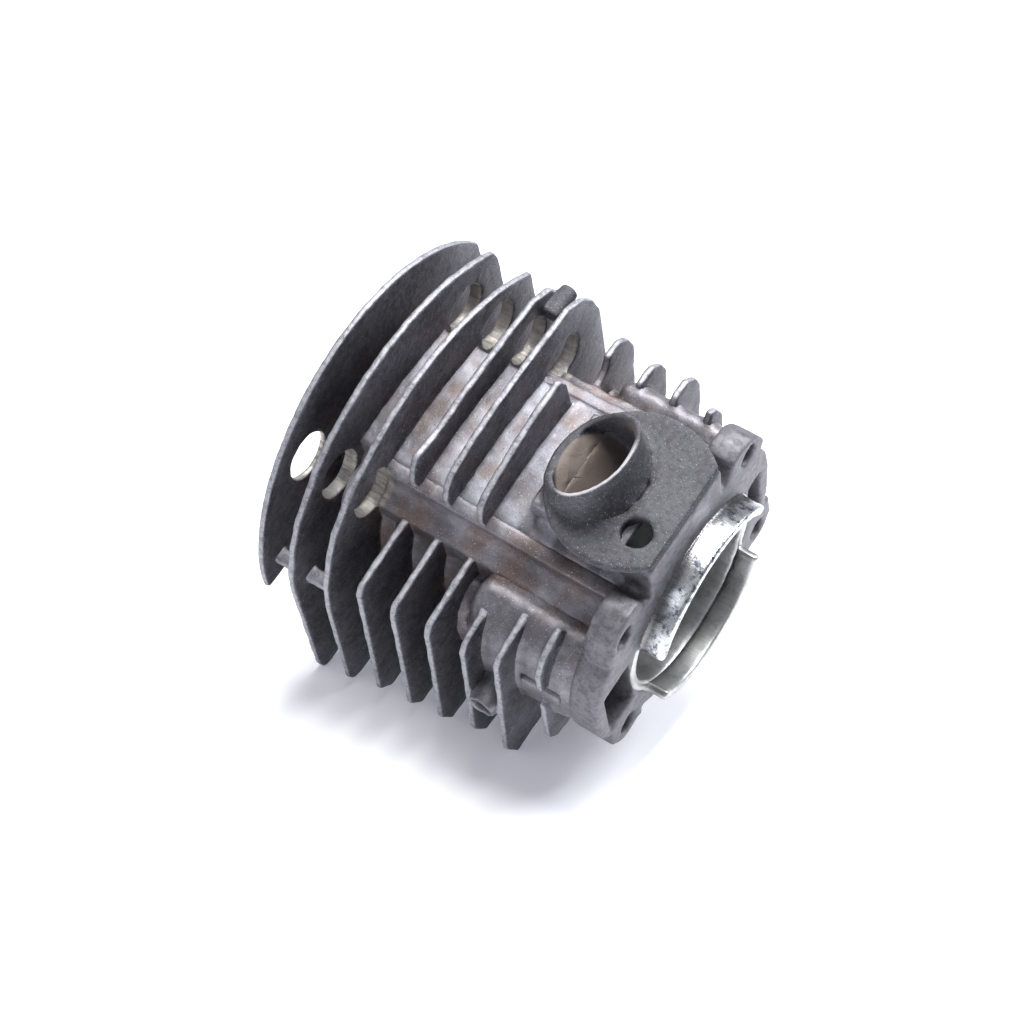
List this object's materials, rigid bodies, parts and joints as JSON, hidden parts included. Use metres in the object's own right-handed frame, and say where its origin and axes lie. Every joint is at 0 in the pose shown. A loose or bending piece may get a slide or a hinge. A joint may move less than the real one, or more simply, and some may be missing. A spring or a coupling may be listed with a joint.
{
  "type": "cylinder head",
  "caption": "Air-cooled two-stroke cylinder with integral finned head, intake stub and flange, exhaust flange, spark plug boss and base flange for a small saw engine.",
  "frame": {"origin": "on the bore axis, in the base gasket face", "axes": "+Z along the bore axis from the base towards the head, -Y towards the intake side, +Y towards the exhaust side, +X to the right seen from the intake side"},
  "size_m": [0.0913, 0.0881, 0.0888],
  "materials": {
    "cast_fin": "shot-blasted die casting, dark graphite grey, lighter on the fin edges",
    "cast_body": "die-cast aluminium, grey with brown stains in the valleys",
    "machined_face": "milled gasket face, violet-grey, dull",
    "cast_inside": "bare casting inside the skirt, greenish grey, satin",
    "plated_bore": "turned and plated, bright with dark blotches"
  },
  "bodies": {
    "root": {"cylinder_liner": "plated_bore", "skirt_front": "plated_bore", "skirt_rear": "cast_inside", "barrel": "cast_body", "intake_wall": "cast_body", "base_flange": "machined_face", "head_dome": "cast_body", "head_crown": "cast_body", "plug_boss": "cast_body", "transfer_left": "cast_body", "transfer_right": "cast_body", "column_left": "cast_body", "column_right": "cast_body", "intake_duct": "cast_body", "intake_flange": "cast_body", "intake_stub": "cast_body", "exhaust_duct": "cast_body", "exhaust_flange": "machined_face", "fin_1": "cast_fin", "fin_2": "cast_fin", "fin_3": "cast_fin", "fin_4_left": "cast_fin", "fin_4_right": "cast_fin", "fin_5_left": "cast_fin", "fin_5_right": "cast_fin", "fin_6_left": "cast_fin", "fin_6_front": "cast_fin", "fin_6_right": "cast_fin", "fin_7_left": "cast_fin", "fin_7_right": "cast_fin", "fin_8_left": "cast_fin", "fin_8_right": "cast_fin", "fin_9_left": "cast_fin", "fin_9_right": "cast_fin", "fin_webs": "cast_fin", "stop_boss": "cast_fin", "hose_nipple": "cast_body", "blank_pad": "cast_body"}
  },
  "joints": []
}
